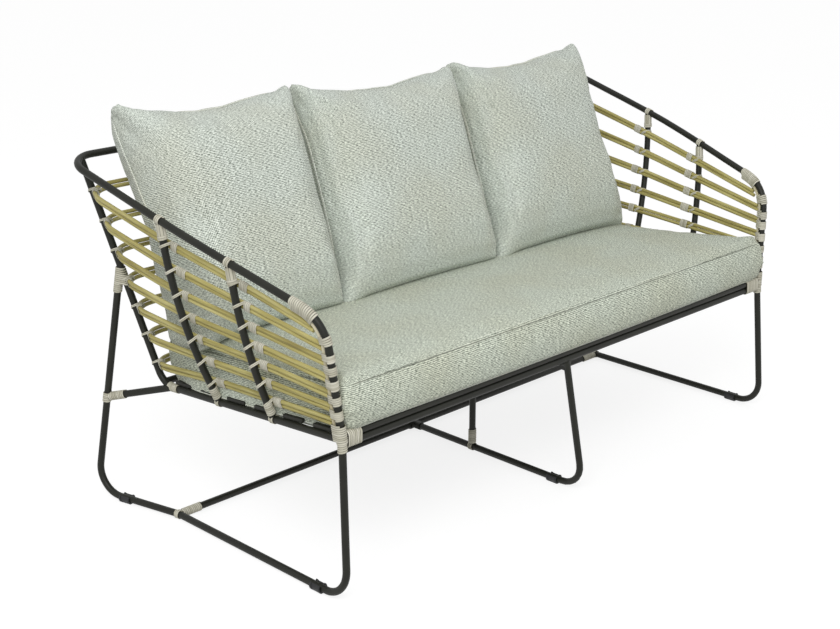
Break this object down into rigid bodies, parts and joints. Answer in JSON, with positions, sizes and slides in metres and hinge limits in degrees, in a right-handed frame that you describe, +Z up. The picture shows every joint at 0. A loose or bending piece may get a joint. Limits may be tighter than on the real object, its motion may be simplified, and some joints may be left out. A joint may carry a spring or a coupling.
{
  "type": "rattan garden sofa",
  "caption": "Garden sofa with a dark steel tube frame, arms and back of paired canes bound with cream strand, sled legs, a pale grey-green woven seat cushion and loose back pillows",
  "frame": {"origin": "on the floor, at the middle of the sofa's box in plan", "axes": "+X runs along the sofa to its right end as a viewer in front of it sees it, +Y runs from the front rail to the back, +Z is up"},
  "size_m": [1.6888, 0.798, 0.9405],
  "materials": {
    "steel": "satin powder coat",
    "cane": "satin, split and creased along its length",
    "strand": "matt flat strand",
    "slat": "satin powder coat",
    "plastic": "matt moulded",
    "fabric": "coarse flat weave with dark flecks"
  },
  "bodies": {
    "frame": {"rim_tube": "steel", "side_hoop_left": "steel", "side_hoop_right": "steel", "front_rail_upper": "steel", "front_rail_lower": "steel", "seat_back_rail": "steel", "arm_post_front_left": "steel", "arm_post_rear_left": "steel", "arm_post_front_right": "steel", "arm_post_rear_right": "steel", "back_post_1": "steel", "back_post_2": "steel", "back_post_3": "steel", "back_post_4": "steel", "leg_loop_left": "steel", "connector_left": "steel", "leg_loop_right": "steel", "connector_right": "steel", "stretcher": "steel", "centre_leg": "steel", "centre_strut": "steel", "centre_bearer": "steel", "stretcher_tee": "steel", "foot_clip_front_left": "plastic", "foot_clip_rear_left": "plastic", "foot_clip_front_right": "plastic", "foot_clip_rear_right": "plastic", "foot_clip_centre": "plastic", "seat_slat_1": "slat", "seat_slat_2": "slat", "seat_slat_3": "slat", "seat_slat_4": "slat", "seat_slat_5": "slat", "seat_slat_6": "slat", "cane_1_upper": "cane", "cane_1_lower": "cane", "cane_2_upper": "cane", "cane_2_lower": "cane", "cane_3_upper": "cane", "cane_3_lower": "cane", "cane_4_upper": "cane", "cane_4_lower": "cane", "cane_5_upper": "cane", "cane_5_lower": "cane", "cane_6_upper": "cane", "cane_6_lower": "cane", "cane_7_upper": "cane", "cane_7_lower": "cane", "filler_cane_left": "cane", "filler_cane_right": "cane", "upright_binding_left": "strand", "upright_binding_right": "strand"},
    "seat_cushion": {"seat_cushion": "fabric"},
    "pillow_left": {"pillow_left": "fabric"},
    "pillow_middle": {"pillow_middle": "fabric"},
    "pillow_right": {"pillow_right": "fabric"}
  },
  "joints": [
    {"name": "seat_cushion_lift", "type": "slide", "parent": "frame", "child": "seat_cushion", "axis": [0, 0, 1], "range_m": [0, 0.55]},
    {"name": "pillow_left_lift", "type": "slide", "parent": "seat_cushion", "child": "pillow_left", "axis": [0, 0, 1], "range_m": [0, 0.45]},
    {"name": "pillow_middle_lift", "type": "slide", "parent": "seat_cushion", "child": "pillow_middle", "axis": [0, 0, 1], "range_m": [0, 0.45]},
    {"name": "pillow_right_lift", "type": "slide", "parent": "seat_cushion", "child": "pillow_right", "axis": [0, 0, 1], "range_m": [0, 0.45]}
  ]
}
